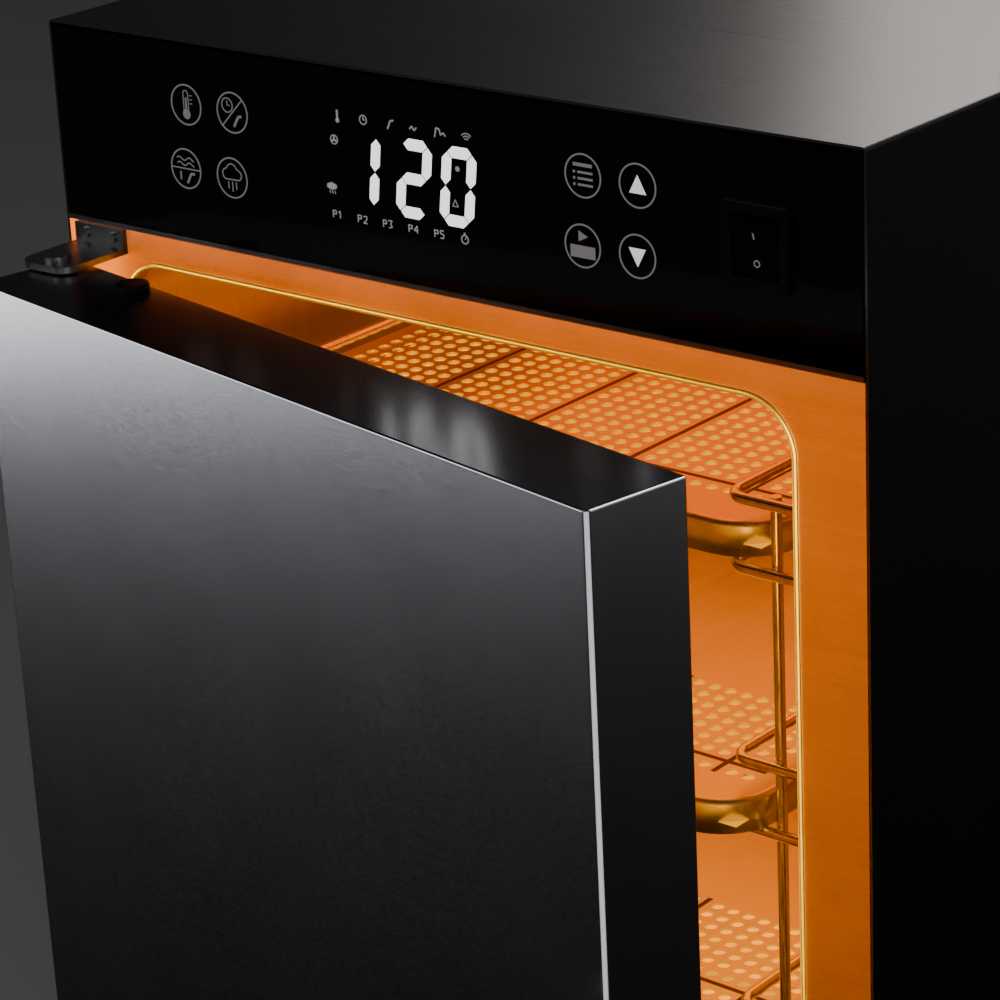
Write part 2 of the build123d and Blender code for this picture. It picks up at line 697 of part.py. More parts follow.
def lower_hinge_bracket():
    """Bracket under the door."""
    return hinge_bracket(LOWER_LEAF_Z, LOWER_LEAF_Z - 13.0, LOWER_LEAF_Z + LEAF_T, LOWER_SCREW_Z)


def hinge_pins():
    """Headed pins fixed in the brackets, running in the door's bushes."""
    upper = rod_z(DOOR_TOP - 14, UPPER_LEAF_Z + LEAF_T, HINGE_X, HINGE_Y, PIN_R)
    upper += rod_z(UPPER_LEAF_Z + LEAF_T, UPPER_LEAF_Z + LEAF_T + 2.5, HINGE_X, HINGE_Y, 7)
    lower = rod_z(LOWER_LEAF_Z, DOOR_BOTTOM + 14, HINGE_X, HINGE_Y, PIN_R)
    lower += rod_z(LOWER_LEAF_Z - 2.5, LOWER_LEAF_Z, HINGE_X, HINGE_Y, 7)
    return group([upper, lower])


def hinge_screws():
    """Screws through the bracket flanges into the frame."""
    made = []
    for z in (UPPER_SCREW_Z, LOWER_SCREW_Z):
        for x in HINGE_SCREW_XS:
            made.append(rod_y(-LEAF_T - 1.6, -LEAF_T, x, z, 3.0) + rod_y(-LEAF_T, 5, x, z, 1.65))
    return group(made)


# ---------------------------------------------------------------- assembly
def body_nodes():
    """Pieces that stay with the body, and those that turn in it."""
    nodes = {
        "outer_casing": outer_casing(),
        "base_pan": base_pan(),
        "rear_cover": rear_cover(),
        "rear_screws": rear_screws(),
        "feet": feet(),
        "foot_screws": foot_screws(),
        "front_frame": front_frame(),
        "panel_trim": panel_trim(),
        "fascia_glass": fascia_glass(),
        "fascia_carrier": fascia_carrier(),
        "display_module": display_module(),
        "touch_board": touch_board(),
        "power_board": power_board(),
        "board_posts": board_posts(),
        "terminal_block": terminal_block(),
        "thermal_cutout": thermal_cutout(),
        "mains_inlet": mains_inlet(),
        "inlet_pins": inlet_pins(),
        "rocker_housing": rocker_housing(),
        "rocker": rocker(),
        "cavity_liner": cavity_liner(),
        "insulation": insulation(),
        "rack_left": rack(-1),
        "rack_right": rack(1),
        "rack_sockets": rack_sockets(),
        "fan_baffle": fan_baffle(),
        "baffle_legs": baffle_legs(),
        "baffle_screws": baffle_screws(),
        "ring_heater": ring_heater(),
        "heater_upper": heater_upper(),
        "heater_lower": heater_lower(),
        "fan_motor": fan_motor(),
        "motor_bracket": motor_bracket(),
        "fan_shaft": fan_shaft(),
        "fan_impeller": fan_impeller(),
        "temperature_probe": temperature_probe(),
        "lamp_holder": lamp_holder(),
        "cavity_lamp": cavity_lamp(),
        "lamp_lens": lamp_lens(),
        "strike_plate": strike_plate(),
        "upper_hinge_bracket": upper_hinge_bracket(),
        "lower_hinge_bracket": lower_hinge_bracket(),
        "hinge_pins": hinge_pins(),
        "hinge_screws": hinge_screws(),
    }
    for name, level, front in zip(("shelf_upper", "shelf_middle", "shelf_lower"), LEVELS, SHELF_FRONTS):
        nodes[name] = shelf(level, front)
    return nodes


def door_nodes():
    """Pieces of the door, turned ajar about the hinge."""
    closed = {
        "door_outer_skin": door_outer_skin(),
        "door_top_plug": door_top_plug(),
        "door_inner_panel": door_inner_panel(),
        "door_insulation": door_insulation(),
        "door_gasket": door_gasket(),
        "door_handle": door_handle(),
        "handle_standoffs": handle_standoffs(),
        "hinge_bushes": hinge_bushes(),
        "door_magnet": door_magnet(),
    }
    ajar = Pos(HINGE_X, HINGE_Y, 0) * Rot(0, 0, -AJAR) * Pos(-HINGE_X, -HINGE_Y, 0)
    return {name: ajar * piece for name, piece in closed.items()}


def main():
    """Builds every node, moves the origin to the middle of the base and writes the STEP files."""
    nodes = {**body_nodes(), **door_nodes()}
    boxes = [piece.bounding_box() for piece in nodes.values()]
    x_mid = (min(b.min.X for b in boxes) + max(b.max.X for b in boxes)) / 2
    y_mid = (min(b.min.Y for b in boxes) + max(b.max.Y for b in boxes)) / 2
    print("shift x", round(-x_mid, 4), "y", round(-y_mid, 4))
    os.makedirs("parts", exist_ok=True)
    for name, piece in nodes.items():
        export_step(Pos(-x_mid, -y_mid, 0) * piece, f"parts/{name}.step")


main()
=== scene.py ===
import json
import math

import bmesh
import bpy
from mathutils import Matrix, Vector

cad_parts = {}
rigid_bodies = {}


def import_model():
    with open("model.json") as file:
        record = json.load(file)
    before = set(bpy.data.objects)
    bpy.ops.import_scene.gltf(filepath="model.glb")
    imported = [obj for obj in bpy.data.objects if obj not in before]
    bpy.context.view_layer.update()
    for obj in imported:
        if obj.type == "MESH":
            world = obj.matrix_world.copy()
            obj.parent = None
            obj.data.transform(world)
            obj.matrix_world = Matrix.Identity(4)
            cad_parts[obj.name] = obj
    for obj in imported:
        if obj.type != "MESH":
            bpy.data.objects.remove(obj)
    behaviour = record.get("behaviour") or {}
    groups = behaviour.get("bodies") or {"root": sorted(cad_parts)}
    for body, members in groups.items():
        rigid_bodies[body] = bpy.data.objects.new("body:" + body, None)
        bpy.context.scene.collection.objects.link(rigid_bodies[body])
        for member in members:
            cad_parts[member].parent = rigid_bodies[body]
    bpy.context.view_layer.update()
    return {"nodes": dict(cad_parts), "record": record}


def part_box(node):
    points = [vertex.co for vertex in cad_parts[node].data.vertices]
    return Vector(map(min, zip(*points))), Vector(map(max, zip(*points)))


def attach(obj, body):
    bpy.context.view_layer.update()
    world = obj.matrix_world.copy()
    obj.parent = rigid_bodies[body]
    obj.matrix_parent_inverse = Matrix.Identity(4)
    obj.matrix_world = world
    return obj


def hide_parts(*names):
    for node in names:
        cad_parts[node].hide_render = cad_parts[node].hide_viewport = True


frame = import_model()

MM = 0.001


# ------------------------------------------------------------------ places read from the frame
GLASS_LOW, GLASS_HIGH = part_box("fascia_glass")
PANEL_Y = GLASS_LOW.y
PANEL_MID = (GLASS_LOW.z + GLASS_HIGH.z) / 2
FACE_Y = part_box("front_frame")[0].y


# ------------------------------------------------------------------ node helpers
class Nodes:
    """Short calls for building one material's node tree."""

    def __init__(self, name):
        self.material = bpy.data.materials.new(name)
        self.material.use_nodes = True
        self.tree = self.material.node_tree
        self.shader = self.tree.nodes["Principled BSDF"]

    def add(self, kind, **settings):
        node = self.tree.nodes.new(kind)
        for key, value in settings.items():
            setattr(node, key, value)
        return node

    def link(self, source, target):
        self.tree.links.new(source, target)

    def coordinates(self, scale):
        """Object coordinates stretched by a scale on each axis."""
        source = self.add("ShaderNodeTexCoord")
        mapping = self.add("ShaderNodeMapping")
        mapping.inputs["Scale"].default_value = scale
        self.link(source.outputs["Object"], mapping.inputs["Vector"])
        return mapping.outputs["Vector"]

    def noise(self, scale, detail=4.0, rough=0.6):
        """Noise over stretched object coordinates."""
        texture = self.add("ShaderNodeTexNoise")
        texture.inputs["Scale"].default_value = 1.0
        texture.inputs["Detail"].default_value = detail
        texture.inputs["Roughness"].default_value = rough
        self.link(self.coordinates(scale), texture.inputs["Vector"])
        return texture.outputs["Fac"]

    def spread(self, value, low, high, start=0.3, end=0.7):
        """The value's middle band spread between two numbers."""
        node = self.add("ShaderNodeMapRange")
        node.inputs["From Min"].default_value = start
        node.inputs["From Max"].default_value = end
        node.inputs["To Min"].default_value = low
        node.inputs["To Max"].default_value = high
        self.link(value, node.inputs["Value"])
        return node.outputs["Result"]

    def tint(self, value, dark, light):
        """A colour between two, chosen by the value."""
        node = self.add("ShaderNodeMix", data_type="RGBA")
        self.link(value, node.inputs[0])
        node.inputs[6].default_value = (*dark, 1)
        node.inputs[7].default_value = (*light, 1)
        return node.outputs[2]

    def bump(self, value, strength, distance):
        """Surface bump from the value."""
        node = self.add("ShaderNodeBump")
        node.inputs["Strength"].default_value = strength
        node.inputs["Distance"].default_value = distance
        self.link(value, node.inputs["Height"])
        self.link(node.outputs["Normal"], self.shader.inputs["Normal"])

    def put(self, **values):
        """Plain values on the shader's own sockets."""
        for key, value in values.items():
            socket = self.shader.inputs[key.replace("_", " ").title().replace("Ior", "IOR")]
            socket.default_value = value


GRAIN_LONG, GRAIN_FINE = 6.0, 1500.0
GRAIN = {
    "x": (GRAIN_LONG, GRAIN_FINE, GRAIN_FINE),
    "y": (GRAIN_FINE, GRAIN_LONG, GRAIN_FINE),
    "z": (GRAIN_FINE, GRAIN_FINE, GRAIN_LONG),
}


def brushed(name, dark, light, rough, along="x", depth=0.25, cloud=0.25):
    """Brushed sheet metal: fine streaks along one axis and an uneven sheen."""
    n = Nodes(name)
    n.put(metallic=1.0)
    streaks = n.noise(GRAIN[along], detail=6.0)
    blend = n.add("ShaderNodeMath", operation="MULTIPLY_ADD")
    n.link(streaks, blend.inputs[0])
    blend.inputs[1].default_value = 1.0 - cloud
    shade = n.spread(n.noise((14.0, 14.0, 14.0), detail=3.0), 0.0, cloud)
    n.link(shade, blend.inputs[2])
    value = n.spread(blend.outputs[0], 0.0, 1.0, 0.25, 0.8)
    n.link(n.tint(value, dark, light), n.shader.inputs["Base Color"])
    sheen = n.spread(blend.outputs[0], rough - 0.28 * cloud, rough + 0.4 * cloud, 0.25, 0.8)
    n.link(sheen, n.shader.inputs["Roughness"])
    n.bump(streaks, depth, 0.00006)
    return n.material


def coated(name, dark, light, rough, grain=900.0, depth=0.3, metallic=0.0, level=0.5):
    """Moulded, painted or cast surface: fine even texture with slight colour drift."""
    n = Nodes(name)
    n.put(metallic=metallic, specular_ior_level=level)
    fine = n.noise((grain, grain, grain), detail=3.0)
    drift = n.noise((22.0, 22.0, 22.0), detail=3.0)
    n.link(n.tint(n.spread(drift, 0.0, 1.0), dark, light), n.shader.inputs["Base Color"])
    n.link(n.spread(drift, rough - 0.06, rough + 0.08), n.shader.inputs["Roughness"])
    n.bump(fine, depth, 0.00008)
    return n.material


def black_glass():
    """Deep black gloss glass with a trace of wiping marks."""
    n = Nodes("black_glass_look")
    n.shader.inputs["Base Color"].default_value = (0.0035, 0.0035, 0.0032, 1)
    smear = n.noise((9.0, 60.0, 30.0), detail=5.0)
    n.link(n.spread(smear, 0.07, 0.14), n.shader.inputs["Roughness"])
    n.bump(n.noise((40.0, 40.0, 40.0)), 0.02, 0.0002)
    n.put(specular_ior_level=0.35)
    return n.material


def wire_chrome():
    """Polished wire with drawn lines and a warm tarnish."""
    n = Nodes("wire_look")
    n.put(metallic=1.0)
    drawn = n.noise((700.0, 700.0, 60.0), detail=4.0)
    colour = n.tint(n.spread(drawn, 0.0, 1.0), (0.62, 0.58, 0.52), (0.86, 0.84, 0.80))
    n.link(colour, n.shader.inputs["Base Color"])
    n.link(n.spread(drawn, 0.12, 0.24), n.shader.inputs["Roughness"])
    n.bump(drawn, 0.12, 0.00005)
    return n.material


def clear_glass():
    """Lamp glass."""
    n = Nodes("lamp_glass_look")
    n.shader.inputs["Base Color"].default_value = (1.0, 0.93, 0.82, 1)
    n.link(n.spread(n.noise((80.0, 80.0, 80.0)), 0.05, 0.16), n.shader.inputs["Roughness"])
    n.put(transmission_weight=0.9, ior=1.47)
    return n.material


def glowing(name, colour, strength):
    """Print with an even glow and a slightly uneven printed surface: real light on the display, painted
    light on the unlit key and switch prints.
    """
    n = Nodes(name)
    n.put(base_color=(0.5, 0.5, 0.5, 1))
    n.shader.inputs["Emission Color"].default_value = (*colour, 1)
    n.shader.inputs["Emission Strength"].default_value = strength
    n.link(n.spread(n.noise((300.0, 300.0, 300.0)), 0.4, 0.6), n.shader.inputs["Roughness"])
    return n.material


def wool():
    """Mineral wool: matted fibres in two directions."""
    n = Nodes("wool_look")
    fibres = n.noise((90.0, 900.0, 900.0), detail=8.0, rough=0.75)
    colour = n.tint(n.spread(fibres, 0.0, 1.0), (0.42, 0.36, 0.20), (0.80, 0.73, 0.52))
    n.link(colour, n.shader.inputs["Base Color"])
    n.link(n.spread(fibres, 0.85, 1.0), n.shader.inputs["Roughness"])
    n.bump(fibres, 0.9, 0.0012)
    return n.material


LOOKS = {
    "casing_steel": brushed(
        "casing_look", (0.22, 0.21, 0.205), (0.40, 0.385, 0.375), 0.28, "x", 0.22, cloud=0.06
    ),
    "door_steel": brushed(
        "door_look", (0.27, 0.272, 0.285), (0.33, 0.333, 0.35), 0.21, "x", 0.03, cloud=0.08
    ),
    "frame_steel": brushed("frame_look", (0.52, 0.50, 0.47), (0.68, 0.66, 0.62), 0.42, "x", 0.15),
    "liner_steel": brushed("liner_look", (0.55, 0.52, 0.48), (0.74, 0.70, 0.65), 0.36, "z", 0.18),
    "shelf_steel": brushed("shelf_look", (0.58, 0.55, 0.50), (0.76, 0.73, 0.68), 0.33, "y", 0.15),
    "wire_steel": wire_chrome(),
    "handle_steel": brushed("handle_look", (0.42, 0.42, 0.42), (0.62, 0.62, 0.62), 0.30, "z", 0.25),
    "hinge_steel": brushed("hinge_look", (0.34, 0.34, 0.34), (0.52, 0.52, 0.52), 0.38, "y", 0.25),
    "screw_steel": brushed("screw_look", (0.40, 0.40, 0.41), (0.62, 0.62, 0.63), 0.32, "z", 0.30),
    "galvanised_steel": brushed("zinc_look", (0.36, 0.38, 0.40), (0.56, 0.58, 0.60), 0.46, "z", 0.15),
    "trim_aluminium": brushed("trim_look", (0.38, 0.38, 0.38), (0.56, 0.56, 0.57), 0.30, "x", 0.20),
    "fan_aluminium": brushed("fan_look", (0.50, 0.50, 0.50), (0.70, 0.70, 0.70), 0.40, "x", 0.25),
    "black_glass": black_glass(),
    "lamp_glass": clear_glass(),
    "switch_plastic": coated(
        "switch_look", (0.006, 0.006, 0.006), (0.012, 0.012, 0.012), 0.48, 1500.0, level=0.25
    ),
    "rocker_plastic": coated(
        "rocker_look", (0.006, 0.006, 0.006), (0.010, 0.010, 0.010), 0.60, 1800.0, 0.15, level=0.08
    ),
    "display_plastic": coated("display_look", (0.03, 0.03, 0.03), (0.05, 0.05, 0.05), 0.60),
    "circuit_board": coated("board_look", (0.01, 0.12, 0.05), (0.03, 0.22, 0.09), 0.40),
    "cream_ceramic": coated("ceramic_look", (0.66, 0.62, 0.52), (0.80, 0.77, 0.68), 0.55),
    "foot_rubber": coated("foot_look", (0.015, 0.015, 0.015), (0.035, 0.035, 0.035), 0.78, 700.0, 0.5),
    "gasket_silicone": coated(
        "gasket_look", (0.05, 0.05, 0.05), (0.09, 0.09, 0.09), 0.55, 1100.0, 0.35
    ),
    "mineral_wool": wool(),
    "heater_steel": coated(
        "heater_look", (0.10, 0.085, 0.075), (0.20, 0.17, 0.15), 0.50, 500.0, 0.3, 0.9
    ),
    "motor_paint": coated("motor_look", (0.02, 0.02, 0.022), (0.04, 0.04, 0.042), 0.45, 800.0, 0.3),
    "bush_bronze": brushed("bush_look", (0.50, 0.30, 0.12), (0.66, 0.44, 0.20), 0.32, "z", 0.25),
}


# Dark look for the groove's middle band: painted shade, laid on the flat sheet with no hollow under it.
GROOVE_SHADE_LOOK = brushed("groove_shade_look", (0.05, 0.035, 0.025), (0.12, 0.09, 0.07), 0.50, "y", 0.2)


def dress_frame():
    """Every CAD node gets the finished look of its slot."""
    for part in frame["record"]["subparts"]:
        obj = frame["nodes"][part["node"]]
        look = LOOKS[part["material_slot"]]
        if not obj.material_slots:
            obj.data.materials.append(look)
        for slot in obj.material_slots:
            slot.material = look


# ------------------------------------------------------------------ mesh helpers
def add_piece(name, bm, look, body, smooth=False):
    """A bmesh becomes a named object that rides on a body."""
    bmesh.ops.recalc_face_normals(bm, faces=bm.faces)
    mesh = bpy.data.meshes.new(name)
    bm.to_mesh(mesh)
    bm.free()
    mesh.materials.append(look)
    if smooth:
        for face in mesh.polygons:
            face.use_smooth = True
    obj = bpy.data.objects.new(name, mesh)
    bpy.context.scene.collection.objects.link(obj)
    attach(obj, body)
    return obj


def rounded_outline(half_w, half_d, radius, steps=8):
    """Points of a rounded rectangle about the origin, anticlockwise."""
    points = []
    corners = ((1, 1, 0), (-1, 1, 90), (-1, -1, 180), (1, -1, 270))
    for sx, sy, start in corners:
        cx, cy = sx * (half_w - radius), sy * (half_d - radius)
        for i in range(steps + 1):
            turn = math.radians(start + 90 * i / steps)
            points.append((cx + radius * math.cos(turn), cy + radius * math.sin(turn)))
    return points


def prism(bm, outline, place, thick):
    """A flat closed shape given by 2-D points, placed by a function and given a thickness along -Y."""
    front = [bm.verts.new(place(x, z, 0.0)) for x, z in outline]
    back = [bm.verts.new(place(x, z, thick)) for x, z in outline]
    bm.faces.new(front)
    bm.faces.new(list(reversed(back)))
    count = len(outline)
    for i in range(count):
        j = (i + 1) % count
        bm.faces.new((front[i], back[i], back[j], front[j]))


def ring(bm, cx, cz, outer, inner, place, thick, steps=48):
    """A flat ring."""
    loops = []
    for radius, depth in ((outer, 0.0), (inner, 0.0), (inner, thick), (outer, thick)):
        loop = []
        for i in range(steps):
            turn = 2 * math.pi * i / steps
            x, z = cx + radius * math.cos(turn), cz + radius * math.sin(turn)
            loop.append(bm.verts.new(place(x, z, depth)))
        loops.append(loop)
    for k in range(4):
        a, b = loops[k], loops[(k + 1) % 4]
        for i in range(steps):
            j = (i + 1) % steps
            bm.faces.new((a[i], a[j], b[j], b[i]))


# ------------------------------------------------------------------ prints on the glass
PRINT_T = 0.15 * MM


def on_glass(x, z, depth):
    """Panel coordinates in millimetres from the middle of the glass, a hair proud of it."""
    return (x * MM, PANEL_Y - PRINT_T + depth, PANEL_MID + z * MM)


def bar(bm, x0, z0, x1, z1, width, place=on_glass):
    """A straight stroke with square ends."""
    along = Vector((x1 - x0, z1 - z0)).normalized()
    side = Vector((-along.y, along.x)) * (width / 2)
    right = [(x0 - side.x, z0 - side.y), (x1 - side.x, z1 - side.y)]
    left = [(x1 + side.x, z1 + side.y), (x0 + side.x, z0 + side.y)]
    prism(bm, right + left, place, PRINT_T)


DOT_SIDES = 20


def dot(bm, cx, cz, radius):
    """A filled disc."""
    turns = [2 * math.pi * i / DOT_SIDES for i in range(DOT_SIDES)]
    outline = [(cx + radius * math.cos(t), cz + radius * math.sin(t)) for t in turns]
    prism(bm, outline, on_glass, PRINT_T)


def stroke(bm, points, width):
    """A line through several points."""
    for (x0, z0), (x1, z1) in zip(points, points[1:]):
        bar(bm, x0, z0, x1, z1, width)


def arc(cx, cz, radius, start, end, steps=8):
    """Points along an arc, in degrees."""
    turns = [math.radians(start + (end - start) * i / steps) for i in range(steps + 1)]
    return [(cx + radius * math.cos(t), cz + radius * math.sin(t)) for t in turns]


DIGIT_H, DIGIT_W, DIGIT_T = 36.0, 19.3, 5.2
DIGIT_MID = 2.4
DIGIT_GAP = 0.35
LEAN = 0.12
SEGMENTS = {"0": "abcdef", "1": "bc", "2": "abged"}
FIGURES = (("1", -34.6), ("2", -4.9), ("0", 20.2))


def segment_outline(kind):
    """Outline of one display segment, as a bar with pointed ends."""
    w, h, t, gap = DIGIT_W, DIGIT_H / 2, DIGIT_T / 2, DIGIT_GAP
    if kind in "adg":
        z = {"a": h - t, "d": t - h, "g": 0.0}[kind]
        reach = w / 2 - t - gap
        upper = [(-reach, z), (-reach + t, z + t), (reach - t, z + t)]
        return upper + [(reach, z), (reach - t, z - t), (-reach + t, z - t)]
    x = w / 2 - t if kind in "bc" else t - w / 2
    low, high = (gap, h - t - gap) if kind in "bf" else (t - h + gap, -gap)
    right = [(x, low), (x + t, low + t), (x + t, high - t)]
    return right + [(x, high), (x - t, high - t), (x - t, low + t)]


def display_digits():
    """The set temperature in slanted seven-segment figures."""
    bm = bmesh.new()
    for text, x in FIGURES:
        for kind in SEGMENTS[text]:
            outline = [(x + px + LEAN * pz, DIGIT_MID + pz) for px, pz in segment_outline(kind)]
            prism(bm, outline, on_glass, PRINT_T)
    look = glowing("digit_light", (1.0, 1.0, 1.0), 1.6)
    add_piece("display_digits", bm, look, "root")


SMALL = 2.3
LINE = 0.55
SMALL_STEPS = 24
TOP_ROW, LOW_ROW = 25.3, -20.3
PROGRAMMES = 5
PROGRAMME_X, PROGRAMME_PITCH = -51.6, 14.9


def temperature_mark(bm, x, z):
    """A tiny thermometer."""
    bar(bm, x, z - 2.0, x, z + 2.6, 1.1)
    dot(bm, x, z - 2.2, 1.1)


def clock_mark(bm, x, z):
    """A tiny clock."""
    ring(bm, x, z, SMALL, SMALL - LINE, on_glass, PRINT_T, SMALL_STEPS)
    stroke(bm, [(x, z + 1.4), (x, z), (x + 1.1, z)], LINE)


def probe_mark(bm, x, z):
    """A bent core probe."""
    stroke(bm, [(x - 1.8, z - 2.2), (x, z + 1.6), (x + 1.9, z + 2.0)], 0.8)


def wave_mark(bm, x, z):
    """One wave."""
    stroke(bm, [(x - 2.0, z - 0.6), (x - 0.8, z + 0.9), (x + 0.6, z - 0.9), (x + 2.0, z + 0.6)], 0.7)


def curve_mark(bm, x, z):
    """A heating curve that rises and falls."""
    points = ((-3.1, -2.2), (-2.1, 2.0), (-0.3, 1.6), (0.3, -0.9), (1.9, 0.2), (3.1, -1.2))
    stroke(bm, [(x + px, z + pz) for px, pz in points], 0.7)


def signal_mark(bm, x, z):
    """Three arcs over each other."""
    for radius in (1.3, 2.5, 3.7):
        stroke(bm, arc(x, z - 2.0, radius, 45, 135, 6), 0.5)


def fan_mark(bm, x, z):
    """Three blades in a ring."""
    ring(bm, x, z, SMALL, SMALL - LINE, on_glass, PRINT_T, SMALL_STEPS)
    for i in range(3):
        turn = math.radians(90 + 120 * i)
        bar(bm, x, z, x + 1.7 * math.cos(turn), z + 1.7 * math.sin(turn), 0.9)


def steam_mark(bm, x, z):
    """A tiny cloud over three jets."""
    for dx, radius in ((-1.7, 1.3), (0.0, 1.8), (1.7, 1.3)):
        dot(bm, x + dx, z, radius)
    for dx in (-1.5, 0.0, 1.5):
        bar(bm, x + dx, z - 2.0, x + dx + 0.5, z - 3.4, 0.4)


def programme_marks(bm, x, z):
    """The letter P before the numbers one to five."""
    for i in range(PROGRAMMES):
        left = x - 2.6
        bar(bm, left, z - 1.7, left, z + 1.7, LINE)
        stroke(bm, [(left, z + 1.5), (left + 1.9, z + 1.5), (left + 1.9, z), (left, z)], LINE)
        number_mark(bm, i + 1, x + 1.6, z)
        x += PROGRAMME_PITCH


def point_mark(bm, x, z):
    """A dot."""
    dot(bm, x, z, 1.2)


def triangle_mark(bm, x, z):
    """A small hollow triangle."""
    stroke(bm, [(x, z + 1.5), (x - 1.6, z - 1.5), (x + 1.6, z - 1.5), (x, z + 1.5)], 0.4)


def timer_mark(bm, x, z):
    """A tiny stopwatch."""
    ring(bm, x, z, 2.2, 1.6, on_glass, PRINT_T, SMALL_STEPS)
    bar(bm, x, z, x + 1.0, z + 1.2, 0.45)
    bar(bm, x, z + 2.2, x, z + 3.1, 0.9)


STATUS_MARKS = (
    (temperature_mark, -48.0, TOP_ROW),
    (clock_mark, -32.7, TOP_ROW),
    (probe_mark, -16.8, TOP_ROW),
    (wave_mark, -3.8, TOP_ROW),
    (curve_mark, 11.5, TOP_ROW),
    (signal_mark, 26.3, TOP_ROW),
    (fan_mark, -50.8, 14.1),
    (steam_mark, -53.9, -7.6),
    (programme_marks, PROGRAMME_X, LOW_ROW),
    (point_mark, 20.4, 10.6),
    (triangle_mark, 18.2, -4.9),
    (timer_mark, 22.6, LOW_ROW - 0.3),
)


def small_icons():
    """Faint status marks round the figures."""
    bm = bmesh.new()
    for mark, x, z in STATUS_MARKS:
        mark(bm, x, z)
    look = glowing("icon_light", (0.55, 0.55, 0.56), 0.30)
    add_piece("display_icons", bm, look, "root")


FIGURE_STROKES = {
    1: [(0, -1), (0, 1), (-0.7, 0.5)],
    2: [(-0.8, 0.8), (0.8, 0.9), (0.7, 0), (-0.8, -1), (0.9, -1)],
    3: [(-0.8, 1), (0.8, 1), (0, 0.1), (0.8, -0.6), (-0.8, -1)],
    4: [(0.5, -1), (0.5, 1), (-0.9, -0.3), (0.9, -0.3)],
    5: [(0.8, 1), (-0.7, 1), (-0.7, 0.2), (0.8, 0), (0.6, -1), (-0.8, -1)],
}


FIGURE_H, FIGURE_ASPECT = 1.7, 0.75


def number_mark(bm, figure, cx, cz):
    """A small stroked figure."""
    wide = FIGURE_H * FIGURE_ASPECT
    stroke(bm, [(cx + x * wide, cz + z * FIGURE_H) for x, z in FIGURE_STROKES[figure]], LINE)


def thermometer(bm, x, z):
    """Thermometer with scale ticks."""
    stroke(bm, arc(x, z + 5.2, 1.5, 0, 180, 8), 0.5)
    bar(bm, x - 1.5, z + 5.2, x - 1.5, z - 2.6, 0.5)
    bar(bm, x + 1.5, z + 5.2, x + 1.5, z - 2.6, 0.5)
    dot(bm, x, z - 4.4, 2.4)
    bar(bm, x, z - 4.0, x, z + 3.4, 1.0)
    for i in range(3):
        bar(bm, x + 2.4, z + 4.6 - 1.9 * i, x + 4.0, z + 4.6 - 1.9 * i, 0.45)


def clock_and_probe(bm, x, z):
    """Clock over a core probe, parted by a slanting line."""
    bar(bm, x - 6.6, z - 6.6, x + 6.6, z + 6.6, 0.6)
    ring(bm, x - 2.9, z + 3.2, 3.6, 3.0, on_glass, PRINT_T, 28)
    stroke(bm, [(x - 2.9, z + 5.4), (x - 2.9, z + 3.2), (x - 1.2, z + 3.2)], 0.5)
    stroke(bm, [(x + 0.6, z - 6.4), (x + 3.6, z - 1.6), (x + 5.6, z - 1.2)], 1.3)


def waves_and_probe(bm, x, z):
    """Heat waves over a core probe, parted by a level line."""
    bar(bm, x - 9.2, z, x + 9.2, z, 0.6)
    for dz in (2.2, 4.6):
        points = [(x - 5.4 + i * 0.9, z + dz + 0.8 * math.sin(i * 0.9)) for i in range(13)]
        stroke(bm, points, 0.55)
    bar(bm, x - 3.6, z - 1.6, x - 3.6, z - 5.6, 0.9)
    stroke(bm, [(x + 0.4, z - 6.8), (x + 3.0, z - 2.2), (x + 5.4, z - 2.0)], 1.2)


def steam_cloud(bm, x, z):
    """Cloud with jets under it."""
    cloud = arc(x - 3.2, z + 1.6, 2.6, 250, 95)
    cloud += arc(x, z + 3.4, 3.2, 150, 25)
    cloud += arc(x + 3.6, z + 1.6, 2.4, 85, -75)
    stroke(bm, cloud + [cloud[0]], 0.6)
    for dx, low in ((-2.4, 5.2), (0.0, 6.4), (2.4, 5.2)):
        bar(bm, x + dx, z - 1.8, x + dx, z - low, 0.6)


def list_sign(bm, x, z):
    """Programme list: a short heading line over dotted rows."""
    bar(bm, x - 5.0, z + 4.6, x + 5.0, z + 4.6, 1.5)
    for i in range(3):
        row = z + 1.4 - 2.7 * i
        dot(bm, x - 4.6, row, 0.65)
        bar(bm, x - 2.8, row, x + 5.2, row, 1.0)


def run_sign(bm, x, z):
    """Run and halt: a triangle over a solid block."""
    prism(bm, [(x - 2.0, z + 1.8), (x + 3.0, z + 4.2), (x - 2.0, z + 6.6)], on_glass, PRINT_T)
    bar(bm, x - 6.6, z - 2.6, x + 6.6, z - 2.6, 5.4)


RING_R = 9.7
RING_W = 0.75
SIGN_KEYS = (
    (-141.9, 18.2, thermometer),
    (-112.7, 18.2, clock_and_probe),
    (-145.3, -12.4, waves_and_probe),
    (-115.9, -12.7, steam_cloud),
    (89.2, 17.3, list_sign),
    (87.7, -13.3, run_sign),
)
ARROW_KEYS = ((117.8, 17.1, 1), (116.6, -13.3, -1))
ARROW_HALF, ARROW_FOOT, ARROW_TIP = 4.4, 3.4, 4.6


def touch_keys():
    """Touch keys printed as ringed signs, and the brighter arrows up and down; the prints are real and
    their glow is painted light.
    """
    signs, arrows = bmesh.new(), bmesh.new()
    for x, z, sign in SIGN_KEYS:
        ring(signs, x, z, RING_R, RING_R - RING_W, on_glass, PRINT_T)
        sign(signs, x, z)
    for x, z, way in ARROW_KEYS:
        ring(signs, x, z, RING_R, RING_R - RING_W, on_glass, PRINT_T)
        foot, tip = z - way * ARROW_FOOT, z + way * ARROW_TIP
        prism(arrows, [(x - ARROW_HALF, foot), (x + ARROW_HALF, foot), (x, tip)], on_glass, PRINT_T)
    # Glow on the unlit key prints: painted light.
    sign_look = glowing("key_print", (0.55, 0.54, 0.52), 0.15)
    arrow_look = glowing("arrow_print", (1.0, 1.0, 1.0), 0.75)
    add_piece("touch_key_prints", signs, sign_look, "root")
    add_piece("arrow_prints", arrows, arrow_look, "root")


